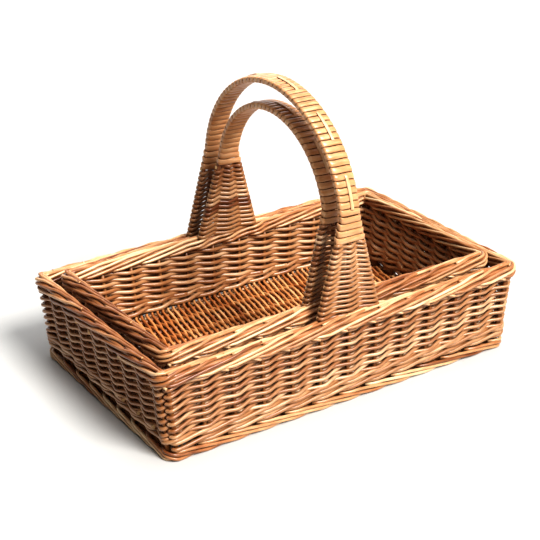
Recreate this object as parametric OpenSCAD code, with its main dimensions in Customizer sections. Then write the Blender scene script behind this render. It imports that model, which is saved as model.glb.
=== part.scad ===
// A nested pair of oblong willow baskets with bow handles, as used for cut flowers and vegetables.
// The long sides lie along X, the bows stand in the plane X = 0, and the large basket stands on Z = 0.
// The small basket sits inside the large one and lifts straight up until its bow meets the large bow.
// Every rod is a straight or bent prism with flat faces, laid beside its neighbours without touching them.

/* [Large basket] */
// Length over the rim
large_rim_l = 520; // [440:1:620]
// Width over the rim
large_rim_w = 315; // [280:1:400]
// Height from the ground to the top of the rim
large_rim_h = 116; // [100:1:150]
// Spaces between stakes along a long side
large_long_space_count = 12; // [9:1:15]
// Spaces between stakes along a short side
large_short_space_count = 8; // [6:1:10]
// Lengthwise sticks in the floor
large_floor_stick_count = 8; // [6:1:10]
// How far the bow's middle line lies inside the rim's outer edge
large_bow_inset = 13.2; // [10:0.1:20]

/* [Small basket] */
// Gap between the two rims at each end
nest_end_gap = 6; // [5:0.5:20]
// Gap between the two rims at each long side
nest_side_gap = 12; // [8:0.5:25]
// How far the small rim stands above the large rim
small_rim_rise = 9; // [4:0.5:20]
// Spaces between stakes along a long side
small_long_space_count = 11; // [8:1:14]
// Spaces between stakes along a short side
small_short_space_count = 7; // [5:1:9]
// Lengthwise sticks in the floor
small_floor_stick_count = 7; // [5:1:9]
// How far the bow's middle line lies inside the rim's outer edge
small_bow_inset = 16.8; // [13:0.1:26]

/* [Walls] */
// How far the rim stands out past the foot at a short side
end_flare = 10; // [4:0.5:14]
// How far the rim stands out past the foot at a long side
side_flare = 2.5; // [1:0.5:10]
// How far the rim stands out past the wall
rim_overhang = 3; // [1:0.5:6]
// Diameter of a side stake
stake_d = 4.6; // [3.5:0.1:5.5]
// Diameter of a corner post
corner_post_d = 5.2; // [4:0.1:6]
// Distance of a corner post from the corner of the wall
corner_set = 7; // [6:0.5:10]
// Thickness of a weaver
weaver_t = 3.2; // [2.4:0.1:3.8]
// Height from one weaver to the next
row_pitch = 4.5; // [4:0.1:6]
// Rows in the band that sets the stakes upright
wale_rows = 4; // [2:1:5]

/* [Foot and floor] */
// Height of the foot under the floor
foot_h = 7; // [5:0.5:10]
// Width of one of the two rods of the foot
foot_rod_w = 6; // [5:0.5:8]
// Height of the slanting strokes round the foot
foot_band_h = 12; // [11:0.5:18]
// Diameter of a floor stick
floor_stick_d = 5.6; // [4:0.1:8]
// Thickness of a floor weaver
floor_weaver_t = 2.4; // [1.8:0.1:3.5]
// Width of a band of three floor weavers
floor_pitch = 11.7; // [9:0.1:15]

/* [Rim border] */
// Height of the border
border_h = 18; // [16:0.5:24]
// Width of a laid rod in the border's core
core_w = 5.6; // [4.5:0.1:6.5]
// Diameter of a strand in the border and the foot
strand_d = 4; // [3.4:0.1:4.2]
// Length of the bevel across a corner of the border and the foot, along each side
corner_bevel = 11; // [9:0.5:11.5]

/* [Bows] */
// Height of the bows' centre above the large rim
bow_rise = 94; // [80:0.5:130]
// Height of the top of the fanned legs above the bows' centre
fan_rise = 24; // [16:0.5:40]
// Width of one of the bow's three rods
bow_rod_w = 7.8; // [5:0.1:9]
// Thickness of the bow's rods
bow_rod_t = 5; // [4:0.1:7]
// Thickness of the wrapping
wrap_t = 1.3; // [0.8:0.1:2]
// Length of bow that one turn of the wrapping covers
wrap_pitch = 8; // [6:0.5:12]
// Width of the leader strip over the wrapping
leader_w = 4.6; // [3:0.1:8]
// Width of a leg where it enters the rim
leg_foot_w = 94; // [70:1:120]
// Diameter of one of the three ribs of a leg
leg_rib_d = 5.2; // [4:0.1:6]
// Length of leg that is wrapped and not woven
leg_wrap_h = 30; // [20:1:40]
// Height from one leg weaver to the next
leg_pitch = 3.05; // [2.9:0.05:6]
// Thickness of a leg weaver
leg_weaver_t = 2.6; // [1.8:0.1:3]

/* [Hidden] */

// Clearance between a weaver and the stake it passes
weave_gap = 0.45;
// Clearance between rods that lie side by side
lay_gap = 0.3;
// Clearance where a piece stands on another
seat_gap = 0.2;
// Number of flats on a rod
rod_sides = 8;

// Thickness of a woven wall, from weaver to weaver
wall_t = max(stake_d, corner_post_d) + 2 * (weave_gap + weaver_t);
// Distance of a weaver's middle from the wall's middle
weave_reach = wall_t / 2 - weaver_t / 2;
// How far an outer weaver dips into the groove at a corner
corner_dip = 4;
// Share of a stake space that a weaver keeps straight on each side of a stake
straight_share = 0.3;

// Thickness of the floor
floor_t = floor_stick_d + 2 * (weave_gap + floor_weaver_t);
// Height of the floor's top above the ground of its own basket
floor_top = foot_h + seat_gap + floor_t;
// Height of the small basket's ground
small_base_z = floor_top + lay_gap;
// Size of the small rim
border_w = strand_d + 2 * core_w + 3 * lay_gap;
small_rim_l = large_rim_l - 2 * (border_w + nest_end_gap);
small_rim_w = large_rim_w - 2 * (border_w + nest_side_gap);
small_rim_h = large_rim_h + small_rim_rise - small_base_z;

// Height of a laid rod in the border's core, where two are stacked
core_h = (border_h - strand_d - 3 * lay_gap) / 2;
// Distance of the leg's middle from the rim's outer edge
leg_inset = lay_gap + strand_d + lay_gap + core_w + lay_gap + core_w / 2;

// Size of the bow with its wrapping
bow_core_w = 3 * bow_rod_w + 2 * lay_gap;
bow_t = bow_rod_t + 2 * (lay_gap + wrap_t);
bow_centre_z = large_rim_h + bow_rise;
// Thickness of the leader, and how far it lies to the right of the bow's middle
leader_t = 1.2;
leader_shift = 2;
// Turns of the wrapping that the leader passes over, and turns that hide it
over_turn_count = 5;
under_turn_count = 5;
// Turns by which the leaders lie nearer the front than the back
early_turn_count = 2;
// Distance of a leg weaver's middle from the ribs' middle
leg_reach = leg_rib_d / 2 + weave_gap + leg_weaver_t / 2;

willow_light = [0.86, 0.62, 0.38];
willow_tan = [0.78, 0.52, 0.28];

function lerp(a, b, t) = a + (b - a) * t;
function unit(v) = v / norm(v);
function left_of(v) = [-v[1], v[0]];

// Offset direction at point i of a path: mitred inside, and along the cut at an end
function mitre(path, cuts, i) =
    let (last = len(path) - 1,
         before = left_of(unit(path[max(i, 1)] - path[max(i, 1) - 1])),
         after = left_of(unit(path[min(i, last - 1) + 1] - path[min(i, last - 1)])))
    i == 0 && cuts[0] != undef ? cuts[0] / (cuts[0] * after)
    : i == last && cuts[1] != undef ? cuts[1] / (cuts[1] * before)
    : (before + after) / (1 + before * after);

// A path thickened to t, as the outline of one closed shape
function thick_path(path, t, cuts = [undef, undef]) =
    let (last = len(path) - 1)
    concat([for (i = [0:last]) path[i] + mitre(path, cuts, i) * t / 2],
           [for (i = [last:-1:0]) path[i] - mitre(path, cuts, i) * t / 2]);

// The settings of each basket, which its parts read
module in_large() {
    $rim_l = large_rim_l;
    $rim_w = large_rim_w;
    $rim_h = large_rim_h;
    $long_spaces = large_long_space_count;
    $short_spaces = large_short_space_count;
    $stick_count = large_floor_stick_count;
    $bow_r = large_rim_w / 2 - large_bow_inset;
    $bow_z = bow_centre_z;
    color(willow_light) children();
}

module in_small() {
    $rim_l = small_rim_l;
    $rim_w = small_rim_w;
    $rim_h = small_rim_h;
    $long_spaces = small_long_space_count;
    $short_spaces = small_short_space_count;
    $stick_count = small_floor_stick_count;
    $bow_r = small_rim_w / 2 - small_bow_inset;
    $bow_z = bow_centre_z - small_base_z;
    color(willow_tan) translate([0, 0, small_base_z]) children();
}

// Height of the top of the weave, under the border
function wall_top() = $rim_h - border_h;
// Half the length and half the width of the wall's middle at height z
function mid_l(z) = $rim_l / 2 - rim_overhang - wall_t / 2 - end_flare * (1 - z / wall_top());
function mid_w(z) = $rim_w / 2 - rim_overhang - wall_t / 2 - side_flare * (1 - z / wall_top());

// Sides are numbered front 0, right 1, back 2, left 3
// Each is drawn as the front, with its outside toward -Y, and turned into place
module on_side(side) {
    $along_x = side % 2 == 0;
    $spaces = $along_x ? $long_spaces : $short_spaces;
    // Stakes of the sides before this one
    $before = floor(side / 2) * ($long_spaces + $short_spaces + 2) + (side % 2) * ($long_spaces + 1);
    $half_along = ($along_x ? $rim_l : $rim_w) / 2;
    $half_out = ($along_x ? $rim_w : $rim_l) / 2;
    rotate(90 * side) children();
}
function mid_along(z) = $along_x ? mid_l(z) : mid_w(z);
function mid_out(z) = $along_x ? mid_w(z) : mid_l(z);
// Place of stake k along a side at height z, from corner post 0 to corner post $spaces
function stake_at(k, z) = (mid_along(z) - corner_set) * (2 * k / $spaces - 1);

// A straight rod between two points
module rod(from, to, d) {
    v = to - from;
    translate(from)
        rotate([0, acos(v[2] / norm(v)), atan2(v[1], v[0])])
            cylinder(d = d, h = norm(v), $fn = rod_sides);
}

module stake(k, d) {
    low = foot_h + 2 * seat_gap;
    high = wall_top();
    rod([stake_at(k, low), -mid_out(low), low], [stake_at(k, high), -mid_out(high), high], d);
}

module stakes() {
    for (side = [0:3])
        on_side(side)
            for (k = [1:$spaces - 1])
                stake(k, stake_d);
}

module corner_posts() {
    for (side = [0:3])
        on_side(side)
            for (k = [0, $spaces])
                stake(k, corner_post_d);
}

// Path of a weaver past every stake of a side, where sides[k] is 1 outside stake k and -1 inside it
function weaver_path(sides, z) =
    let (space = stake_at(1, z) - stake_at(0, z),
         first_dip = sides[0] > 0 ? weave_reach - corner_dip : -weave_reach,
         last_dip = sides[$spaces] > 0 ? weave_reach - corner_dip : -weave_reach)
    concat(
        [[-mid_along(z) - first_dip + lay_gap / 2, -mid_out(z) - first_dip]],
        [for (k = [0:$spaces], turn = [-1, 1])
            if (!(k == 0 && turn < 0) && !(k == $spaces && turn > 0))
                [stake_at(k, z) + turn * straight_share * space, -mid_out(z) - sides[k] * weave_reach]],
        [[mid_along(z) + last_dip - lay_gap / 2, -mid_out(z) - last_dip]]);

// The path with its corner ends, where an outside weaver stays out until it is past the corner post
function wall_path(sides, z) =
    let (path = weaver_path(sides, z),
         last = len(path) - 1,
         past = 1.5,
         start = [stake_at(0, z) - past, -mid_out(z) - weave_reach],
         end = [stake_at($spaces, z) + past, -mid_out(z) - weave_reach])
    concat([path[0]], sides[0] > 0 ? [start] : [],
           [for (i = [1:last - 1]) path[i]],
           sides[$spaces] > 0 ? [end] : [], [path[last]]);

module weaver(sides, z) {
    translate([0, 0, z + lay_gap / 2])
        linear_extrude(row_h() - lay_gap)
            polygon(thick_path(wall_path(sides, z + row_h() / 2), weaver_t, [[-1, -1], [1, -1]]));
}

// Rows that fill the wall from the foot band to the border, the lowest of them the wale
function row_count() = round((wall_top() - foot_band_h - lay_gap) / row_pitch);
function row_h() = (wall_top() - foot_band_h - lay_gap) / row_count();
function row_z(row) = foot_band_h + lay_gap + row * row_h();

// Randed wall: each row passes outside one stake and inside the next, and rows alternate
module wall_weave(side) {
    on_side(side)
        for (row = [wale_rows:row_count() - 1])
            weaver([for (k = [0:$spaces]) ($before + k + row) % 2 == 0 ? 1 : -1], row_z(row));
}

// Three-rod wale: each row passes outside two stakes and inside one
module wale() {
    for (side = [0:3])
        on_side(side)
            for (row = [0:wale_rows - 1])
                weaver([for (k = [0:$spaces]) ($before + k + row) % 3 == 0 ? -1 : 1], row_z(row));
}

// Bevel of a line that runs at inset inside the outline, so that all the bevels are parallel
function bevel_at(inset) = corner_bevel - (2 - sqrt(2)) * inset;

// A rod laid along one side at inset from the outline, bevelled to meet its neighbour at the corner
module laid_rod(along_half, out_half, inset, w, h) {
    a = along_half - inset - w / 2;
    v = out_half - inset - w / 2;
    bevel = bevel_at(inset + w / 2);
    end = [a - bevel / 2 - lay_gap / 2, -v + bevel / 2];
    linear_extrude(h)
        polygon(thick_path([[-end[0], end[1]], [-a + bevel, -v], [a - bevel, -v], end], w,
                           [[-1, -1], [1, -1]]));
}

// Half sizes of the foot's outline, which stands clear of the stakes by one strand
foot_reach = max(stake_d, corner_post_d) / 2 + 2 * lay_gap + strand_d;
function foot_along() = mid_along(foot_band_h) + foot_reach;
function foot_out() = mid_out(foot_band_h) + foot_reach;

// Foot: two rods laid under the stakes and the edge of the floor
module foot() {
    for (side = [0:3])
        on_side(side)
            for (i = [0, 1])
                laid_rod(foot_along(), foot_out(), strand_d + lay_gap + i * (foot_rod_w + lay_gap),
                         foot_rod_w, foot_h);
}

// Stake spaces over which parallel strands, one per space, shift by a distance and still lie side by side
function lay_run(shift) = shift / (strand_d + lay_gap);

// Slanting strokes on the outer face of a side, each falling from height high to height low
module slant_band(low, high, along_half, out_half) {
    space = 2 * along_half / $spaces;
    end = along_half - corner_bevel - strand_d * 2;
    run = lay_run(high - low - strand_d) * space;
    slope = (high - low - strand_d) / run;
    for (k = [-3:$spaces]) {
        start = -along_half + k * space;
        a = max(start, -end);
        b = min(start + run, end);
        if (b - a > strand_d)
            rod([a, -out_half + strand_d / 2, high - strand_d / 2 - (a - start) * slope],
                [b, -out_half + strand_d / 2, high - strand_d / 2 - (b - start) * slope], strand_d);
    }
}

// Bent strokes that carry a slanting band round one corner, one above the other
module corner_turns(low, high, along_half, out_half) {
    count = round((high - low) / strand_d);
    rise = (high - low) / count;
    a = along_half - strand_d / 2;
    v = out_half - strand_d / 2;
    bevel = bevel_at(strand_d / 2);
    tail = strand_d;
    for (i = [0:count - 1])
        translate([0, 0, low + i * rise + lay_gap / 2])
            linear_extrude(rise - lay_gap)
                polygon(thick_path([[a - bevel - tail, -v], [a - bevel, -v],
                                    [a, -v + bevel], [a, -v + bevel + tail]], strand_d));
}

module foot_strands() {
    for (side = [0:3])
        on_side(side) {
            slant_band(lay_gap, foot_band_h, foot_along(), foot_out());
            corner_turns(lay_gap, foot_band_h, foot_along(), foot_out());
        }
}

// Half the length and half the width of the floor, which fits between the walls
function floor_half_l() = mid_l(floor_top) - wall_t / 2 - lay_gap - end_flare * floor_top / wall_top();
function floor_half_w() = mid_w(floor_top) - wall_t / 2 - lay_gap - side_flare * floor_top / wall_top();
function stick_at(i) = (floor_half_w() - floor_stick_d) * (2 * i / ($stick_count - 1) - 1);
function floor_mid_z() = foot_h + seat_gap + floor_t / 2;

module floor_sticks() {
    for (i = [0:$stick_count - 1])
        rod([-floor_half_l(), stick_at(i), floor_mid_z()], [floor_half_l(), stick_at(i), floor_mid_z()],
            floor_stick_d);
}

// Floor weavers cross from side to side in bands of three, over one stick and under the next
module floor_weave() {
    count = floor(2 * floor_half_l() / floor_pitch);
    reach = floor_t / 2 - floor_weaver_t / 2;
    gap = stick_at(1) - stick_at(0);
    for (row = [0:count - 1]) {
        path = concat(
            [[-floor_half_w(), (row % 2 == 0 ? 1 : -1) * reach]],
            [for (i = [0:$stick_count - 1], turn = [-1, 1])
                if (!(i == 0 && turn < 0) && !(i == $stick_count - 1 && turn > 0))
                    [stick_at(i) + turn * straight_share * gap, ((i + row) % 2 == 0 ? 1 : -1) * reach]],
            [[floor_half_w(), (($stick_count - 1 + row) % 2 == 0 ? 1 : -1) * reach]]);
        translate([(row - count / 2) * floor_pitch + lay_gap / 2, 0, floor_mid_z()])
            rotate([90, 0, 90])
                linear_extrude(floor_pitch - lay_gap)
                    polygon(thick_path(path, floor_weaver_t));
    }
}

// Half the width of the slot that the leg leaves in the inner half of the border
leg_slot = leg_foot_w / 2 + lay_gap * 2;

// The border's core: an outer and an inner stack of laid rods, and the strand along the top edge
module border_core() {
    outer_inset = lay_gap + strand_d + lay_gap;
    inner_inset = outer_inset + core_w + lay_gap;
    for (side = [0:3])
        on_side(side) {
            for (i = [0, 1])
                translate([0, 0, wall_top() + lay_gap + i * (core_h + lay_gap)]) {
                    laid_rod($half_along, $half_out, outer_inset, core_w, core_h);
                    if ($along_x)
                        slotted_rod(inner_inset);
                    else
                        laid_rod($half_along, $half_out, inner_inset, core_w, core_h);
                }
            translate([0, 0, $rim_h - strand_d])
                laid_rod($half_along, $half_out, 0, strand_d + lay_gap, strand_d);
        }
}

// The inner laid rod of a long side, in two lengths that stop at the leg
module slotted_rod(inset) {
    a = $half_along - inset - core_w / 2;
    v = $half_out - inset - core_w / 2;
    bevel = bevel_at(inset + core_w / 2);
    end = [a - bevel / 2 - lay_gap / 2, -v + bevel / 2];
    for (turn = [0, 1])
        mirror([turn, 0])
            linear_extrude(core_h)
                polygon(thick_path([[leg_slot, -v], [a - bevel, -v], end], core_w, [undef, [1, -1]]));
}

// Slanting strands on top of the border, from the edge strand to the inner edge, clear of the leg
module top_strands() {
    space = 2 * $half_along / $spaces;
    near = strand_d + 2 * lay_gap + strand_d / 2;
    far = border_w - strand_d / 2;
    run = lay_run(far - near) * space;
    slope = (far - near) / run;
    margin = corner_bevel + sqrt(2) * (strand_d * 1.5 + 2 * lay_gap) - 2 * near;
    slot_in = leg_inset - core_w / 2 - strand_d / 2;
    z = $rim_h - strand_d / 2;
    for (k = [-2:$spaces]) {
        start = -$half_along + k * space;
        low = max(start, (-$half_along + near + margin - slope * start) / (1 - slope));
        high = min(start + run, ($half_along - near - margin + slope * start) / (1 + slope));
        // Where the strand comes within the leg's depth
        enter = start + (slot_in - near) / slope;
        blocked = $along_x && high > -leg_slot && enter < leg_slot;
        first_end = blocked ? max(enter, -leg_slot) : high;
        for (piece = [[low, min(high, first_end)], [blocked ? leg_slot : high, high]])
            if (piece[1] - piece[0] > strand_d)
                rod([piece[0], -$half_out + near + (piece[0] - start) * slope, z],
                    [piece[1], -$half_out + near + (piece[1] - start) * slope, z], strand_d);
    }
}

module border_strands() {
    low = wall_top() + lay_gap;
    high = $rim_h - strand_d - lay_gap;
    for (side = [0:3])
        on_side(side) {
            // On the border the strokes rise, toward +X
            mirror([1, 0, 0])
                slant_band(low, high, $half_along, $half_out);
            corner_turns(low, high, $half_along, $half_out);
            top_strands();
        }
}

// Angle above the horizontal at which the bow's arc ends and its legs begin
function arc_start() = asin(fan_rise / $bow_r);
function arc_turns() = round((180 - 2 * arc_start()) * PI / 180 * $bow_r / wrap_pitch);
function turn_angle() = (180 - 2 * arc_start()) / arc_turns();

// A flat strip bent along the bow, from one turn of the wrapping to another, width w along X
module arc_strip(from_turn, to_turn, inner_r, outer_r, x, w) {
    angles = [for (i = [from_turn:to_turn]) arc_start() + i * turn_angle()];
    last = len(angles) - 1;
    translate([x, 0, $bow_z])
        rotate([90, 0, 90])
            linear_extrude(w, center = true)
                polygon(concat([for (i = [0:last]) outer_r * [cos(angles[i]), sin(angles[i])]],
                               [for (i = [last:-1:0]) inner_r * [cos(angles[i]), sin(angles[i])]]));
}

// Three rods side by side, bent to the bow
module bow_rods() {
    for (i = [-1:1])
        arc_strip(0, arc_turns(), $bow_r - bow_rod_t / 2, $bow_r + bow_rod_t / 2,
                  i * (bow_rod_w + lay_gap), bow_rod_w);
}

// One turn of wrapping round a core of width w and thickness t, h long
module wrap_turn(w, t, h) {
    linear_extrude(h, center = true)
        difference() {
            square([w + 2 * (lay_gap + wrap_t), t + 2 * (lay_gap + wrap_t)], center = true);
            square([w + 2 * lay_gap, t + 2 * lay_gap], center = true);
        }
}

// A leg's frame: the origin is the end of the arc, and the leg runs down -Z to the slot in the border
function leg_top_y() = $bow_r * cos(arc_start());
function leg_drop() = $bow_z + fan_rise - wall_top();
function leg_out() = $rim_w / 2 - leg_inset - leg_top_y();
function leg_length() = norm([leg_drop(), leg_out()]);
module on_leg(back) {
    mirror([0, back ? 0 : 1, 0])
        translate([0, leg_top_y(), $bow_z + fan_rise])
            rotate([atan2(leg_out(), leg_drop()), 0, 0])
                children();
}
// Distance from the leg's middle to rib i of -1, 0 and 1, at s down the leg
function rib_at(i, s) = i * (lerp(bow_core_w, leg_foot_w, s / leg_length()) - leg_rib_d) / 2;

// Clearance for the change of direction between the arc and the leg
bend_gap = 1.2;

module leg_ribs() {
    for (back = [false, true])
        on_leg(back)
            for (i = [-1:1])
                rod([rib_at(i, bend_gap), 0, -bend_gap],
                    [rib_at(i, leg_length() - bend_gap), 0, -leg_length() + bend_gap], leg_rib_d);
}

module bow_wrapping() {
    turn = turn_angle();
    length = 2 * ($bow_r - bow_t / 2) * sin(turn / 2) - lay_gap / 2;
    translate([0, 0, $bow_z])
        for (i = [0:arc_turns() - 1])
            rotate([arc_start() + (i + 0.5) * turn, 0, 0])
                translate([0, $bow_r, 0])
                    wrap_turn(bow_core_w, bow_rod_t, length);
    leg_turns = floor((leg_wrap_h - bend_gap) / wrap_pitch);
    leg_turn_h = (leg_wrap_h - bend_gap) / leg_turns;
    for (back = [false, true])
        on_leg(back)
            for (i = [0:leg_turns - 1]) {
                s = bend_gap + (i + 0.5) * leg_turn_h;
                width = 2 * rib_at(1, s + leg_turn_h / 2) + leg_rib_d;
                translate([0, 0, -s])
                    wrap_turn(width, leg_rib_d, leg_turn_h - lay_gap);
            }
}

// The leader shows on top of the bow where it passes over a run of turns
module bow_leader() {
    step = over_turn_count + under_turn_count;
    lead = floor((arc_turns() % step + under_turn_count) / 2) + early_turn_count;
    low_r = $bow_r + bow_t / 2 + seat_gap;
    for (i = [lead:step:arc_turns() - over_turn_count])
        arc_strip(i, i + over_turn_count, low_r, low_r + leader_t, leader_shift, leader_w);
}

// Randed leg: rows run from edge rib to edge rib and alternate
module leg_weave(back) {
    top = leg_wrap_h + lay_gap;
    bottom = leg_length() - (border_h + lay_gap) * leg_length() / leg_drop();
    rows = floor((bottom - top) / leg_pitch);
    end = leg_rib_d / 2 + weave_gap;
    on_leg(back)
        for (row = [0:rows - 1]) {
            s = top + (row + 0.5) * leg_pitch;
            bend = straight_share * rib_at(1, s);
            reach = (row % 2 == 0 ? 1 : -1) * leg_reach;
            path = [
                [rib_at(-1, s) - end, reach], [rib_at(-1, s) + bend, reach],
                [-bend, -reach], [bend, -reach],
                [rib_at(1, s) - bend, reach], [rib_at(1, s) + end, reach]
            ];
            translate([0, 0, -s])
                linear_extrude(leg_pitch - lay_gap, center = true)
                    polygon(thick_path(path, leg_weaver_t));
        }
}

in_large() floor_sticks();  // large_floor_sticks
in_large() floor_weave();  // large_floor_weave
in_large() foot();  // large_foot
in_large() foot_strands();  // large_foot_strands
in_large() stakes();  // large_stakes
in_large() corner_posts();  // large_corner_posts
in_large() wale();  // large_wale
in_large() wall_weave(0);  // large_front_weave
in_large() wall_weave(1);  // large_right_weave
in_large() wall_weave(2);  // large_back_weave
in_large() wall_weave(3);  // large_left_weave
in_large() border_core();  // large_border_core
in_large() border_strands();  // large_border_strands
in_large() bow_rods();  // large_bow_rods
in_large() bow_wrapping();  // large_bow_wrapping
in_large() bow_leader();  // large_bow_leader
in_large() leg_ribs();  // large_leg_ribs
in_large() leg_weave(false);  // large_front_leg_weave
in_large() leg_weave(true);  // large_back_leg_weave
in_small() floor_sticks();  // small_floor_sticks
in_small() floor_weave();  // small_floor_weave
in_small() foot();  // small_foot
in_small() foot_strands();  // small_foot_strands
in_small() stakes();  // small_stakes
in_small() corner_posts();  // small_corner_posts
in_small() wale();  // small_wale
in_small() wall_weave(0);  // small_front_weave
in_small() wall_weave(1);  // small_right_weave
in_small() wall_weave(2);  // small_back_weave
in_small() wall_weave(3);  // small_left_weave
in_small() border_core();  // small_border_core
in_small() border_strands();  // small_border_strands
in_small() bow_rods();  // small_bow_rods
in_small() bow_wrapping();  // small_bow_wrapping
in_small() bow_leader();  // small_bow_leader
in_small() leg_ribs();  // small_leg_ribs
in_small() leg_weave(false);  // small_front_leg_weave
in_small() leg_weave(true);  // small_back_leg_weave
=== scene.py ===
"""A nested pair of oblong willow baskets with bow handles, woven rod by rod."""
import math

import bpy
import numpy as np
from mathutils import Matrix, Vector


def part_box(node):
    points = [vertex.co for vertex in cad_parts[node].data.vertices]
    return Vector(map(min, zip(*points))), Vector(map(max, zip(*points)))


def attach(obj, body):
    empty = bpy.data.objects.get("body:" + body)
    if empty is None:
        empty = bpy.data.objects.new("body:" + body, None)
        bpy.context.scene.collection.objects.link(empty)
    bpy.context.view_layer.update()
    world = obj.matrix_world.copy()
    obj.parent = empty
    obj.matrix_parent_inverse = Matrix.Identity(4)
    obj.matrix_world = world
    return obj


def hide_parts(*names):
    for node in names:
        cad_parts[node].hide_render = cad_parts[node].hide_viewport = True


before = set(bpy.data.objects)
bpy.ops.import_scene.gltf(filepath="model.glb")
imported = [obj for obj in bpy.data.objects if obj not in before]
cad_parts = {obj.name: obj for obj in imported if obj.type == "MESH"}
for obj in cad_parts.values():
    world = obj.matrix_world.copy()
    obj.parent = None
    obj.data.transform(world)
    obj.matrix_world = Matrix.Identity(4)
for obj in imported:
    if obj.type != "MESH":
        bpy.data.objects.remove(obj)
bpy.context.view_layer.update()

# --- Studio ------------------------------------------------------------------------------------------
# The baskets stand on plain white paper. A broad light from the upper right of the front does nearly
# all the work, so the left walls and the gaps between rods fall into deep shade.


def linear(hex_colour):
    """sRGB hex to linear RGBA: each channel c becomes c/12.92 below 0.04045, else ((c+0.055)/1.055)^2.4."""
    c = [int(hex_colour[i:i + 2], 16) / 255 for i in (1, 3, 5)]
    return tuple(x / 12.92 if x <= 0.04045 else ((x + 0.055) / 1.055) ** 2.4 for x in c) + (1.0,)


def add_node(material, kind, links=(), **settings):
    """Adds one shader node; settings name sockets or attributes, links pair a socket with another node's output."""
    nd = material.node_tree.nodes.new(kind)
    for name, value in settings.items():
        socket = nd.inputs.get(name.replace("_", " "))
        if socket is not None:
            socket.default_value = value
        else:
            setattr(nd, name, value)
    for socket, source in links:
        material.node_tree.links.new(nd.inputs[socket], source)
    return nd


def new_material(name):
    """An empty node material, and its output node."""
    m = bpy.data.materials.new(name)
    m.use_nodes = True
    m.node_tree.nodes.clear()
    return m, add_node(m, "ShaderNodeOutputMaterial")


scene = bpy.context.scene
scene.view_settings.view_transform = "Standard"
scene.view_settings.gamma = 0.8
AZIMUTH, ELEVATION, DISTANCE = math.radians(-33.994), math.radians(25.404), 1.7420
TARGET = Vector((-0.00665, 0.00724, 0.11083))
toward = Vector((math.sin(AZIMUTH) * math.cos(ELEVATION), -math.cos(AZIMUTH) * math.cos(ELEVATION),
                 math.sin(ELEVATION)))
camera = bpy.data.objects.new("camera", bpy.data.cameras.new("camera"))
camera.data.lens = 1407.2 / 540 * 36
camera.data.clip_start = 0.05
camera.data.clip_end = 60
camera.location = TARGET + toward * DISTANCE
camera.rotation_euler = (-toward).to_track_quat("-Z", "Y").to_euler()
scene.collection.objects.link(camera)
scene.camera = camera

paper, paper_out = new_material("white_paper")
paper_bsdf = add_node(paper, "ShaderNodeBsdfPrincipled", Base_Color=linear("#C2C2C1"), Roughness=0.9)
paper.node_tree.links.new(paper_out.inputs["Surface"], paper_bsdf.outputs["BSDF"])
floor_mesh = bpy.data.meshes.new("floor")
floor_mesh.from_pydata([(-8, -8, 0), (8, -8, 0), (8, 8, 0), (-8, 8, 0)], [], [(0, 1, 2, 3)])
floor_mesh.materials.append(paper)
floor = bpy.data.objects.new("floor", floor_mesh)
scene.collection.objects.link(floor)

world = bpy.data.worlds.new("studio")
world.use_nodes = True
world.node_tree.nodes["Background"].inputs["Color"].default_value = linear("#FFFFFF")
world.node_tree.nodes["Background"].inputs["Strength"].default_value = 0.03
scene.world = world


def soft_light(name, direction, spread, strength, colour):
    """A distant light that shines from a direction, spread over an angle in degrees."""
    light = bpy.data.lights.new(name, "SUN")
    light.angle = math.radians(spread)
    light.energy = strength
    light.color = linear(colour)[:3]
    ob = bpy.data.objects.new(name, light)
    ob.rotation_euler = Vector(direction).to_track_quat("Z", "Y").to_euler()
    scene.collection.objects.link(ob)


soft_light("key", (0.16, -0.72, 0.76), 24, 5.7, "#FFFDF9")
soft_light("overhead", (0.1, -0.1, 1), 60, 2.3, "#FFFFFF")
soft_light("back_fill", (0.35, 1, 0.4), 50, 1.0, "#FFFFFF")

# --- Willow ------------------------------------------------------------------------------------------
# Buff willow: rods boiled in their bark and then peeled, which dyes them tan. Each is smooth, with a
# low sheen and a fine lengthwise grain, and no two have quite the same colour. Cut ends are pale.


def willow(name, shades, roughness):
    """Buff willow whose colour runs over the shades by the rod's tone, with streaks along the rod.

    The attribute "straight" holds each point's place on the rod before it was bent, so the streaks follow it.
    """
    m, out = new_material(name)
    tone = add_node(m, "ShaderNodeAttribute", attribute_name="tone")
    straight = add_node(m, "ShaderNodeAttribute", attribute_name="straight")
    drawn = add_node(m, "ShaderNodeMapping", [("Vector", straight.outputs["Vector"])], Scale=(1.0, 1.0, 0.05))
    streaks = add_node(m, "ShaderNodeTexNoise", [("Vector", drawn.outputs["Vector"])], Scale=1.1, Detail=4.0)
    broad = add_node(m, "ShaderNodeTexNoise", [("Vector", straight.outputs["Vector"])], Scale=0.045, Detail=1.0)
    spread = add_node(m, "ShaderNodeMath", [(0, streaks.outputs["Fac"]), (1, broad.outputs["Fac"])],
                      operation="ADD")
    swing = add_node(m, "ShaderNodeMapRange", [("Value", spread.outputs[0])], From_Min=0.6, From_Max=1.4,
                     To_Min=-0.28, To_Max=0.28)
    mixed = add_node(m, "ShaderNodeMath", [(0, tone.outputs["Fac"]), (1, swing.outputs["Result"])],
                     operation="ADD")
    ramp = add_node(m, "ShaderNodeValToRGB", [("Fac", mixed.outputs[0])])
    while len(ramp.color_ramp.elements) < len(shades):
        ramp.color_ramp.elements.new(0.5)
    for i, shade in enumerate(shades):
        ramp.color_ramp.elements[i].position = i / (len(shades) - 1)
        ramp.color_ramp.elements[i].color = linear(shade)
    bump = add_node(m, "ShaderNodeBump", [("Height", streaks.outputs["Fac"])], Strength=0.25, Distance=0.0003)
    bsdf = add_node(m, "ShaderNodeBsdfPrincipled", [("Base Color", ramp.outputs["Color"]),
                                                    ("Normal", bump.outputs["Normal"])], Roughness=roughness,
                    Coat_Weight=0.3, Coat_Roughness=0.3)
    m.node_tree.links.new(out.inputs["Surface"], bsdf.outputs["BSDF"])
    return m


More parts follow.
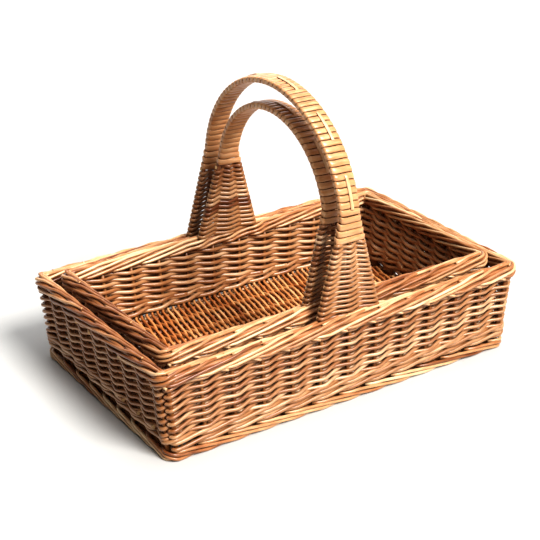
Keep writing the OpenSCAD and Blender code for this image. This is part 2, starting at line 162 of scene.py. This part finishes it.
weaver_willow = willow("buff_willow_weaver", ("#703C1E", "#9A663E", "#B1835A", "#D0AC88"), 0.32)
# Painted light: the floor's willow is painted lighter and redder than the weavers', for the warm light that bounces
# round inside the basket
floor_willow_painted_light = willow("buff_willow_floor_painted_light", ("#84461D", "#BA743C", "#D4985E", "#E6BC88"), 0.36)
# Painted shade: the stakes' willow is painted darker than the weavers', for the shade in the gaps where stakes
# show; foot rods, floor sticks, bow rods and ribs share it
stake_willow_painted_shade = willow("buff_willow_stake_painted_shade", ("#552A10", "#7E4822", "#9C6636", "#B58352"), 0.42)
border_willow = willow("buff_willow_border", ("#743E1C", "#AB7246", "#CCA074", "#E6CAA2"), 0.32)
skein_willow = willow("buff_willow_skein", ("#8A4C24", "#B87D4E", "#D4A476", "#E6C8A0"), 0.3)
# The pale wood that a cut shows
pith, pith_out = new_material("cut_willow")
pith_bsdf = add_node(pith, "ShaderNodeBsdfPrincipled", Base_Color=linear("#CFAE7E"), Roughness=0.7)
pith.node_tree.links.new(pith_out.inputs["Surface"], pith_bsdf.outputs["BSDF"])

chance = np.random.default_rng(11)


def rod(path, radius, tone=None, up=(0, 0, 1), shape=(1, 1), cut=(1, 1)):
    """A rod for rod_piece: its middle line in mm, radius, tone, a direction and shape for its section, and
    for its first and last end 1 where it is cut there and 0 where it goes on in the next piece."""
    return {"path": np.asarray(path, float), "radius": radius, "up": up, "shape": shape, "cut": cut,
            "tone": float(np.clip(chance.normal(0.55, 0.17), 0.1, 0.95)) if tone is None else tone}


def rod_piece(node, rods, basket, material, sides=8):
    """Makes the piece that stands for a basket's CAD node from rods, and lets it ride the basket's body.

    With T the unit direction from the point before to the point after, V the up direction less its part along
    T, made unit, and U = V x T, a rod's ring at point c is c + r (w cos(a) U + h sin(a) V) for its shape (w, h).
    """
    angles = np.linspace(0, 2 * math.pi, sides, endpoint=False)
    points, tones, straight, faces, caps, cuts = [], [], [], [], [], []
    start = 0
    for i, one in enumerate(rods):
        path = one["path"]
        step = np.gradient(path, axis=0)
        t = step / np.linalg.norm(step, axis=1, keepdims=True)
        v = np.broadcast_to(np.asarray(one["up"], float), path.shape)
        v = v - (v * t).sum(1, keepdims=True) * t
        v = v / np.linalg.norm(v, axis=1, keepdims=True)
        u = np.cross(v, t)
        r = np.broadcast_to(np.asarray(one["radius"], float), len(path))
        w, h = one["shape"]
        ring = (w * np.cos(angles)[None, :, None] * u[:, None] + h * np.sin(angles)[None, :, None] * v[:, None])
        points.append((path[:, None] + r[:, None, None] * ring).reshape(-1, 3))
        length = np.concatenate([[0], np.cumsum(np.linalg.norm(np.diff(path, axis=0), axis=1))])
        flat = np.stack([r[:, None] * np.cos(angles), r[:, None] * np.sin(angles),
                         np.repeat(length[:, None] + 700.0 * i, sides, 1)], -1)
        straight.append(flat.reshape(-1, 3))
        tones.append(np.full(len(path) * sides, one["tone"]))
        index = start + np.arange(len(path) * sides).reshape(-1, sides)
        after = np.roll(index, -1, axis=1)
        faces.append(np.stack([index[:-1], after[:-1], after[1:], index[1:]], -1).reshape(-1, 4))
        caps += [index[0, ::-1].tolist(), index[-1].tolist()]
        cuts += one["cut"]
        start += len(path) * sides
    quads = np.concatenate(faces).tolist()
    name = f"{basket.name}_{node}_rods"
    mesh = bpy.data.meshes.new(name)
    mesh.from_pydata(np.concatenate(points) * MM, [], quads + caps)
    mesh.polygons.foreach_set("use_smooth", [True] * len(quads) + [False] * len(caps))
    mesh.polygons.foreach_set("material_index", [0] * len(quads) + cuts)
    mesh.attributes.new("tone", "FLOAT", "POINT").data.foreach_set("value", np.concatenate(tones))
    mesh.attributes.new("straight", "FLOAT_VECTOR", "POINT").data.foreach_set(
        "vector", np.concatenate(straight).ravel())
    mesh.materials.append(material)
    mesh.materials.append(pith)
    ob = bpy.data.objects.new(name, mesh)
    scene.collection.objects.link(ob)
    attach(ob, basket.body)
    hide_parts(f"{basket.name}_{node}")
    return ob


# --- The plan of a basket ------------------------------------------------------------------------------
# Stakes stand along four sides, two close together at each corner. Rods are described by how many
# stakes they have passed, counted anticlockwise from the front's left corner post.
MM = 0.001
CORNER_SET = 7
POST_GAP = CORNER_SET * math.sqrt(2)
CORNER_R = 15
WALL_INSET = 9.25
ROD_REACH = 4.45
TURNS = np.array([1, 1j, -1, -1j])


def direction(degrees):
    """Unit complex number at an angle."""
    return np.exp(1j * np.radians(degrees))


class Basket:
    """One basket's sizes in mm, most of them measured on its nodes in the frame."""

    def __init__(self, name, long_spaces, short_spaces):
        self.name = name
        self.body = f"{name}_basket"
        self.spaces = np.array([long_spaces, short_spaces] * 2)
        self.first = np.array([0, long_spaces + 1, long_spaces + short_spaces + 2,
                               2 * long_spaces + short_spaces + 3])
        self.stakes = 2 * (long_spaces + short_spaces + 2)
        core_low, core_high = self.box("border_core")
        self.base = self.box("foot")[0][2]
        self.half_rim = core_high[:2]
        self.rim = core_high[2] - self.base
        self.wall_top = core_low[2] - 0.3 - self.base
        self.flare = (10, 2.5)

    def box(self, node):
        """Lowest and highest corner of one of the basket's nodes in mm."""
        return [np.array(corner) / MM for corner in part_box(f"{self.name}_{node}")]

    def mid(self, axis, z):
        """Half the distance between two walls' middles at height z: it shrinks by the flare down to the ground."""
        return self.half_rim[axis] - WALL_INSET - np.asarray(self.flare)[axis] * (1 - z / self.wall_top)

    def where(self, g):
        """Side, place along it in stake spaces, and its number of spaces, for stake coordinate g."""
        g = np.mod(g, self.stakes)
        side = np.searchsorted(self.first, g, side="right") - 1
        return side, g - self.first[side], self.spaces[side]

    def lift(self, plan, z):
        """Points from complex plan positions and heights above the basket's ground."""
        return np.stack([plan.real, plan.imag, z + self.base + 0 * plan.real], -1)


BASKETS = [Basket("large", 12, 8), Basket("small", 11, 7)]


def corner_bend(a, b, u):
    """Plan round the two posts of a corner, from beside the first (u = 0) to beside the second (u = 1).

    a and b are +1 where the rod is outside that post. The posts stand at 0 and c = 7 + 7i, and with r = |c| / 2
    the rod bends round them as arcs: from outside to inside 135 degrees round the first and 45 round the second,
    the other way round from inside to outside, and a quarter of a circle round 7i where it stays on one side.
    """
    c, r = CORNER_SET * (1 + 1j), POST_GAP / 2
    inward = np.where(u < 0.75, r * direction(-90 + 180 * u), c + r * direction(225 - 180 * (u - 0.75)))
    outward = np.where(u < 0.25, r * direction(90 - 180 * u), c + r * direction(225 + 180 * (u - 0.25)))
    level = 1j * CORNER_SET + (CORNER_SET + a * r) * direction(-90 + 90 * u)
    return np.where(a == b, level, np.where(a > 0, inward, outward))


def past_stakes(basket, g, z, outside):
    """Plan of a rod woven past stakes at stake coordinate g, where outside(k) is +1 outside stake k, else -1.

    Between stakes it swings by r asin(q cos(pi u)) / asin(q), a zigzag with rounded peaks just past the stakes.
    Returns the plan, u, which is the part of the space passed since the last peak, and the swing.
    """
    side, s, spaces = basket.where(g)
    edge = np.minimum(s, spaces - s)
    shifted = g - 0.08 * np.clip(2 * edge, 0, 1)
    k = np.floor(shifted)
    u = shifted - k
    a, b = outside(k), outside(k + 1)
    q = 0.985
    swing = np.where(a == b, a, a * np.arcsin(q * np.cos(math.pi * u)) / math.asin(q))
    reach = ROD_REACH + (POST_GAP / 2 - ROD_REACH) * np.clip(1 - edge, 0, 1)
    along = np.where(side % 2 == 0, basket.mid(0, z), basket.mid(1, z))
    out = np.where(side % 2 == 0, basket.mid(1, z), basket.mid(0, z))
    wall = (along - CORNER_SET) * (2 * s / spaces - 1) - 1j * (out + reach * swing)
    corner = along - CORNER_SET - 1j * out + corner_bend(a, b, u)
    return np.where(s > spaces, corner, wall) * TURNS[side], u, swing


def along_edge(basket, half, g, inset):
    """Plan of a rod laid at an inset from an oblong outline of half sizes half, with arcs for corners."""
    side, s, spaces = basket.where(g)
    along = np.where(side % 2 == 0, half[0], half[1])
    out = np.where(side % 2 == 0, half[1], half[0])
    wall = (along - CORNER_R) * (2 * s / spaces - 1) - 1j * (out - inset)
    corner = (along - CORNER_R) - 1j * (out - CORNER_R) + (CORNER_R - inset) * direction(-90 + 90 * (s - spaces))
    return np.where(s > spaces, corner, wall) * TURNS[side]


# --- Stakes and corner posts ---------------------------------------------------------------------------
# Stiff upright rods, thicker than the weavers, and not quite straight. Their willow is painted a shade darker than
# the weavers': painted shade, for the dark gaps between the rods where the stakes show.
STAKE_R, POST_R = 2.3, 2.6

for basket in BASKETS:
    z = np.linspace(7.6, basket.wall_top - 0.2, 6)
    stakes, posts = [], []
    for k in range(basket.stakes):
        side, s, spaces = (int(n) for n in basket.where(np.array(k)))
        along, out = basket.mid(side % 2, z), basket.mid(1 - side % 2, z)
        plan = ((along - CORNER_SET) * (2 * s / spaces - 1) - 1j * out) * TURNS[side]
        post = s in (0, spaces)
        sway = 0 if post else 0.35 * np.sin(z / 23 + chance.uniform(0, 6))
        stake = rod(basket.lift(plan + sway, z), (POST_R if post else STAKE_R) * (1.04 - z / 2400), up=(1, 0, 0))
        (posts if post else stakes).append(stake)
    rod_piece("stakes", stakes, basket, stake_willow_painted_shade)
    rod_piece("corner_posts", posts, basket, stake_willow_painted_shade)

# --- Wale ------------------------------------------------------------------------------------------------
# Two rounds of three-rod wale set the stakes upright. Each rod passes outside two stakes and inside
# the third, and rises over the other two rods as it goes.
WALE_R = 2.15

for basket in BASKETS:
    low, high = (corner[2] - basket.base for corner in basket.box("wale"))
    round_h = (high - low) / 2
    fill = {"large": 1.1, "small": 1.3}[basket.name]
    rods = []
    for j in range(3):
        def outside(k, j=j):
            return np.where(np.mod(k - j, 3) == 2, -1, 1)
        g = j - 0.5 + np.arange(0, 2 * basket.stakes - 3 + 0.1, 0.125)
        t = np.mod(g - j + 0.5, 3)
        climb = np.where(t < 2, np.clip(t - 0.5, 0, 1), np.clip(3 - t, 0, 1))
        z = low + WALE_R + 0.3 + round_h * (g - j) / basket.stakes + 4.3 * climb * climb * (3 - 2 * climb)
        plan, *_ = past_stakes(basket, g, z, outside)
        rods.append(rod(basket.lift(plan, z), WALE_R, 0.46 + 0.14 * j, shape=(1, fill)))
    rod_piece("wale", rods, basket, weaver_willow)

# --- Side weave ------------------------------------------------------------------------------------------
# French randing: one rod starts beside every stake, and all of them climb to the right by one rod's
# thickness for each stake passed, outside one and inside the next. A rod sags where it passes outside.
BUTT_R, TIP_R, SAG = 2.2, 1.95, 1.9

for basket in BASKETS:
    low, high = (corner[2] - basket.base for corner in basket.box("front_weave"))
    rows = round((high - low) / 4.5)
    climb = (high - low) / rows
    tones = np.clip(chance.normal(0.55, 0.17, basket.stakes), 0.1, 0.95)
    phases = chance.uniform(0, 2 * math.pi, basket.stakes)
    for side, node in enumerate(("front_weave", "right_weave", "back_weave", "left_weave")):
        # Some walls are packed fuller than others
        fuller = {"large": (0, 0.6, 0.45, 0.1), "small": (0.45, 0.45, 0.25, 0.45)}[basket.name][side]
        start = basket.first[side] - 0.5
        end = start + basket.spaces[side] + 1
        rods = []
        for r in range(int(start) - rows, int(end) + 2):
            g = np.arange(max(r - 0.875, start - 0.125), min(r + rows - 0.375, end + 0.125) + 0.01, 0.125)
            if len(g) < 4:
                continue

            def outside(k, r=r):
                return np.where(np.mod(k - r, 2) == 0, 1, -1)
            z = low + climb * (g - r + 0.5)
            plan, u, swing = past_stakes(basket, g, z, outside)
            _, s, spaces = basket.where(g)
            sag = SAG * (0.6 + 0.4 * swing) * np.where(s > spaces, 1, 0.5 + 0.5 * np.cos(2 * math.pi * u))
            waver = 0.35 * np.sin(1.3 * (g - r) + phases[r % basket.stakes])
            z = np.clip(z + SAG / 2 - sag + waver, low + 1, high - 1)
            radius = BUTT_R + fuller + (TIP_R - BUTT_R) * (g - r) / rows
            cut = (int(r - 0.875 > start), int(r + rows - 0.375 < end))
            rods.append(rod(basket.lift(plan, z), radius, tones[r % basket.stakes], cut=cut,
                            shape=(1, 1 + fuller / 3)))
        rod_piece(node, rods, basket, weaver_willow)

# --- Foot ------------------------------------------------------------------------------------------------
# Two rods lie round under the stakes and the edge of the floor. Strands come out under the wale, one
# at each stake, fall to the right along the outer face, and turn in under the foot.
FOOT_ROD_R, STRAND_R = 2.95, 2.0

for basket in BASKETS:
    half = basket.box("foot_strands")[1][:2]
    g = np.arange(0, basket.stakes + 0.01, 0.25)
    rods = []
    for inset in (7.3, 13.6):
        plan = along_edge(basket, half, g, inset + 0.2 * np.sin(g * 2.1))
        rods.append(rod(basket.lift(plan, 3.4), FOOT_ROD_R, 0.45))
    rod_piece("foot", rods, basket, stake_willow_painted_shade)
    rods = []
    for k in range(basket.stakes):
        t = np.arange(-0.3, 2.75, 0.15)
        fall = np.clip((t - 0.3) / 1.7, 0, 1)
        inset = 2.05 + 5.2 * np.clip((0.25 - t) / 0.55, 0, 1) ** 2 + 5.5 * np.clip((t - 1.9) / 0.8, 0, 1) ** 2
        z = 10.6 - 8.3 * fall + 0.25 * np.sin(t * 3 + k)
        plan = along_edge(basket, half, k + t, inset)
        rods.append(rod(basket.lift(plan, z), STRAND_R))
    rod_piece("foot_strands", rods, basket, border_willow)

# --- Floor -----------------------------------------------------------------------------------------------
# Sticks run lengthwise, and thin rods are packed across them, over one and under the next. Each drifts
# by its own thickness at every stick it passes, so that its strokes are curved.
FLOOR_STICK_R, FLOOR_ROD_R = 2.8, 1.75

for basket in BASKETS:
    (_, _, low), (half_l, half_w, high) = basket.box("floor_weave")
    middle = (low + high) / 2 - basket.base
    (_, first_y, _), (_, last_y, _) = basket.box("floor_sticks")
    first_y, last_y = first_y + FLOOR_STICK_R, last_y - FLOOR_STICK_R
    count = {"large": 8, "small": 7}[basket.name]
    gap = (last_y - first_y) / (count - 1)
    sticks = []
    for i in range(count):
        x = np.linspace(-half_l, half_l, 12)
        y = first_y + i * gap + 0.3 * np.sin(x / 61 + i)
        sticks.append(rod(np.stack([x, y, 0 * x + middle + basket.base], -1), FLOOR_STICK_R))
    rod_piece("floor_sticks", sticks, basket, stake_willow_painted_shade)
    pitch = 3.9
    # The rods of one floor don't stand over those of the other
    shift = {"large": 0.5, "small": 0}[basket.name]
    rods = []
    for row in range(-int(half_l / pitch) - 2 * count, int(half_l / pitch) + 2):
        u = np.arange(-0.5, count - 0.5 + 0.01, 0.125)
        bend = np.arcsin(0.93 * np.cos(math.pi * np.clip(u, 0, count - 1))) / math.asin(0.93)
        y = np.clip(first_y + gap * u, -half_w - 3, half_w + 3)
        x = pitch * (row + shift + u) - 1.9 * (0.5 + 0.5 * np.cos(2 * math.pi * u))
        z = middle + (1 if row % 2 == 0 else -1) * (FLOOR_STICK_R + FLOOR_ROD_R) * bend
        keep = np.abs(x) < half_l - 1.8
        if keep.sum() > 3:
            path = np.stack([x, y, z + basket.base], -1)[keep]
            rods.append(rod(path, FLOOR_ROD_R, up=(0, 0, 1)))
    # The floor's rods use the willow painted lighter and redder: painted bounce light
    rod_piece("floor_weave", rods, basket, floor_willow_painted_light, sides=6)

# --- Border ----------------------------------------------------------------------------------------------
# A rolled border over a core of rods. Strands start low on the outer face, one at each stake, rise to
# the right over almost three stakes, go over the outer top edge, and end in a cut tip on the top.
RIB_SPREAD = 44


def smooth(x):
    """Eases from 0 to 1: 3 x^2 - 2 x^3 with x kept between 0 and 1."""
    x = np.clip(x, 0, 1)
    return x * x * (3 - 2 * x)


def round_ribs(basket, g, inset):
    """The inset of a strand on the inner face, pushed in by up to 3.6 mm where it passes the ribs of a bow."""
    plan = along_edge(basket, basket.half_rim, g, inset)
    past = np.min([np.abs(plan.real - x) for x in (-RIB_SPREAD, 0, RIB_SPREAD)], axis=0)
    long_side = np.abs(plan.imag) > basket.half_rim[1] - 25
    return inset + 3.6 * long_side * smooth((inset - 11) / 3) * smooth(1 - (past - 2) / 14)


for basket in BASKETS:
    half = basket.half_rim
    top = basket.rim
    rods = []
    core_r = (top - basket.wall_top - 5) / 4
    g = np.arange(0, basket.stakes + 0.01, 0.25)
    for inset, layer in ((6.4, 0), (6.0, 1), (11.0, 0), (11.0, 1)):
        plan = along_edge(basket, half, g, inset + 0.2 * np.sin(g * 1.7 + layer))
        rods.append(rod(basket.lift(plan, basket.wall_top + 0.4 + core_r * (1 + 2 * layer)), core_r, 0.3))
    rod_piece("border_core", rods, basket, border_willow)

    rods = []
    for k in range(basket.stakes):
        late = 0.15 * chance.uniform(-1, 1)
        # The rods laid along the left end are painted darker: painted shade, for the shade on the left end, which
        # faces away from the key light
        left_end_painted_shade = 0.3 * (basket.where(np.array(k + 1.5))[0] == 3)
        tone = float(np.clip(chance.normal(0.52, 0.2) - left_end_painted_shade, 0.1, 0.95))
        peek = chance.choice([0, 0, 0.5, 1.1])
        # Up the outer face and over the outer top edge
        t = np.concatenate([np.arange(-0.4, 2.85, 0.1), [2.88]])
        rise = np.clip((t - 0.1) / 2.2, 0, 1)
        inset = 2.1 + 3.6 * np.clip((0.15 - t) / 0.5, 0, 1) ** 2 + 6.6 * smooth((t - 1.75) / 1.2)
        z = basket.wall_top + 2.0 + (top - STRAND_R - basket.wall_top - 2.0) * rise + 0.2 * np.sin(2.2 * t + k)
        z = np.minimum(z, top - STRAND_R + 0.1) + peek * (t > 2.86)
        plan = along_edge(basket, half, k + t + late, inset)
        rods.append(rod(basket.lift(plan, z), STRAND_R - 0.1 - 0.5 * smooth((t - 2.2) / 0.6), tone))
        # From under the tips over the inner top edge, and down the inner face
        t = np.arange(0, 4.7, 0.125)
        inset = 7.2 + 7.3 * smooth(t / 2.9) - 2.6 * np.clip((t - 4.2) / 0.5, 0, 1)
        z = top - STRAND_R - 0.4 - 2.2 * np.clip((0.5 - t) / 0.5, 0, 1)
        z = z - (top - basket.wall_top - 4.4) * np.clip((t - 2.1) / 2.3, 0, 1)
        # The same painted shade darkens the inner half of each strand on the left end
        tone = float(np.clip(chance.normal(0.55, 0.2) - left_end_painted_shade, 0.1, 0.95))
        plan = along_edge(basket, half, k + t, round_ribs(basket, k + t, inset))
        rods.append(rod(basket.lift(plan, z), STRAND_R - 0.1, tone))
        # The tail of a strand, which pokes out under the border just before a stake
        if chance.random() < 0.7:
            t = np.array([-0.42, -0.36, -0.3, -0.24, -0.18]) + 0.06 * chance.uniform(-1, 1)
            inset = np.array([7.5, 5.8, 4.4, 3.2, 2.2])
            plan = along_edge(basket, half, k + t, inset)
            rods.append(rod(basket.lift(plan, basket.wall_top + 1.0 - 8 * (t + 0.42)), 1.6, 0.75))
    rod_piece("border_strands", rods, basket, border_willow)

# --- Bows ------------------------------------------------------------------------------------------------
# Three stout rods side by side are bent to each bow and wrapped with skein, which is willow split and
# shaved flat. A leader strip runs along the bow, over a few turns of the wrapping and under the next.
FAN_RISE, BOW_ROD_W, BOW_ROD_T, CORE_W = 24, 7.8, 5.0, 24.0
WRAP_PITCH, SKEIN_T = 8.0, 1.3
LEG_FOOT_W, LEG_INSET, RIB_R = 94, 13.3, 2.6


class Bow:
    """The line of a basket's bow: a straight leg, the arc, and the other leg, all in the plane X = 0."""

    def __init__(self, basket):
        rods_low, rods_high = basket.box("bow_rods")
        self.z = rods_low[2] - FAN_RISE
        self.r = rods_high[2] - self.z - BOW_ROD_T / 2
        self.start = math.asin(FAN_RISE / self.r)
        self.arc = (math.pi - 2 * self.start) * self.r
        self.top_y = self.r * math.cos(self.start)
        self.drop = self.z + FAN_RISE - basket.wall_top - basket.base
        self.out = basket.half_rim[1] - LEG_INSET - self.top_y
        self.leg = math.hypot(self.drop, self.out)

    def at(self, s):
        """Place, direction and outward direction in (y, z) at s mm along the arc, past its ends down the legs."""
        angle = self.start + np.clip(s, 0, self.arc) / self.r
        over = np.where(s < 0, -s, np.where(s > self.arc, s - self.arc, 0))
        sign = np.where(s < self.arc / 2, 1, -1)
        leg = over > 0
        y = self.r * np.cos(angle) + sign * over * self.out / self.leg
        z = self.z + self.r * np.sin(angle) - over * self.drop / self.leg
        out_y = np.where(leg, sign * self.drop / self.leg, np.cos(angle))
        out_z = np.where(leg, self.out / self.leg, np.sin(angle))
        return y, z, out_y, out_z

    def width(self, s):
        """Width of the rods side by side: the core's on the arc, and fanning evenly to the leg's foot."""
        over = np.where(s < 0, -s, np.where(s > self.arc, s - self.arc, 0))
        return CORE_W + (LEG_FOOT_W - CORE_W) * over / self.leg


# The bow is drawn from its +Y end; the front is at -Y
for basket in BASKETS:
    bow = Bow(basket)
    # Length of leg that is wrapped
    wrap_h = {"large": 30, "small": 18}[basket.name]
    # Rods of the bow
    s = np.linspace(0, bow.arc, 60)
    y, z, out_y, out_z = bow.at(s)
    rods = []
    for i in (-1, 0, 1):
        path = np.stack([0 * y + i * (BOW_ROD_W + 0.3), y, z], -1)
        rods.append(rod(path, BOW_ROD_T / 2, up=np.stack([0 * y, out_y, out_z], -1), shape=(1.54, 1)))
    rod_piece("bow_rods", rods, basket, stake_willow_painted_shade)

    # Wrapping: one long skein, wound as a helix that shifts mostly on the bow's under side
    first_turn, last_turn = -wrap_h / WRAP_PITCH, (bow.arc + wrap_h) / WRAP_PITCH
    turn = np.arange(first_turn + 0.1, last_turn - 0.1, 1 / 28)
    angle = 2 * math.pi * turn
    s = WRAP_PITCH * (turn - 0.3 * np.sin(angle) / (2 * math.pi))
    y, z, out_y, out_z = bow.at(s)
    half_w = bow.width(s) / 2 + 0.3 + SKEIN_T / 2
    half_t = BOW_ROD_T / 2 + 0.3 + SKEIN_T / 2
    cos, sin = np.cos(angle), np.sin(angle)
    across = half_w * np.sign(sin) * np.abs(sin) ** 0.42
    up = half_t * np.sign(cos) * np.abs(cos) ** 0.42
    path = np.stack([across, y + up * out_y, z + up * out_z], -1)
    step_y, step_z = -out_z, out_y
    skein = rod(path, 1.0, 0.6, up=np.stack([0 * y, step_y, step_z], -1), shape=(0.95, WRAP_PITCH / 2 - 0.25))
    rod_piece("bow_wrapping", [skein], basket, skein_willow)

    # Leader
    leaders = []
    turns = round(bow.arc / WRAP_PITCH)
    for i in range((turns % 10 + 5) // 2 + 2, turns - 4, 10):
        s = np.linspace(i, i + 5, 30) * bow.arc / turns
        y, z, out_y, out_z = bow.at(s)
        dip = 1.0 * np.clip(1 - np.minimum(s - s[0], s[-1] - s) / 3, 0, 1) ** 2
        lift = BOW_ROD_T / 2 + 0.3 + SKEIN_T + 0.75 - dip
        path = np.stack([0 * y + 2, y + lift * out_y, z + lift * out_z], -1)
        leaders.append(rod(path, 1.0, 0.85, up=np.stack([0 * y, out_y, out_z], -1), shape=(2.3, 0.7)))
    rod_piece("bow_leader", leaders, basket, skein_willow)

    # Ribs of the legs
    rods = []
    for end, sign in ((0, -1), (bow.arc, 1)):
        s = end + sign * np.linspace(0.5, bow.leg - 1, 12)
        y, z, out_y, out_z = bow.at(s)
        for i in (-1, 0, 1):
            x = i * (bow.width(s) - 2 * RIB_R) / 2
            rods.append(rod(np.stack([x, y, z], -1), RIB_R, up=np.stack([0 * y, out_y, out_z], -1)))
    rod_piece("leg_ribs", rods, basket, stake_willow_painted_shade)

    # Weave of the legs: rods go to and fro, outside one rib and inside the next, round the edge ribs
    for node, end, sign, deep in (("back_leg_weave", 0, -1, 1.45), ("front_leg_weave", bow.arc, 1, 1.28)):
        rods = []
        top_s = wrap_h - 2.5
        bottom_s = bow.leg - 16.5 * bow.leg / bow.drop
        rows = int((bottom_s - top_s) / 3.05)
        pitch = (bottom_s - top_s) / rows
        reach = RIB_R + 1.4
        row = np.arange(0, rows, 1 / 24)
        phase = row % 2
        # Across the leg and back: v runs from -1 to 1 and to -1 again
        v = np.where(phase < 1, 2 * phase - 1, 3 - 2 * phase)
        v = np.clip(v * 1.12, -1, 1)
        turning = np.clip((np.abs(np.where(phase < 1, 2 * phase - 1, 3 - 2 * phase)) * 1.12 - 1) / 0.12, 0, 1)
        even = np.where(phase < 1, 1, -1)
        q = 0.93
        depth = -even * reach * np.arcsin(q * np.cos(math.pi * v)) / math.asin(q) * np.cos(turning * math.pi / 2)
        s = top_s + pitch * (row + 0.5) + 0.9 * (0.5 + 0.5 * np.cos(2 * math.pi * v))
        s_line = end + sign * s
        half_x = (bow.width(s_line) - 2 * RIB_R) / 2
        x = half_x * v + np.sign(v) * reach * np.sin(turning * math.pi / 2)
        y, z, out_y, out_z = bow.at(s_line)
        path = np.stack([x, y + depth * out_y, z + depth * out_z], -1)
        tones = np.clip(chance.normal(0.55, 0.17, rows), 0.1, 0.95)
        for i in range(0, rows, 4):
            run = slice(i * 24, min((i + 4) * 24 + 1, len(row)))
            rods.append(rod(path[run], 1.6, tones[i], up=(0, 0, 1), shape=(1, deep)))
        rod_piece(node, rods, basket, weaver_willow)
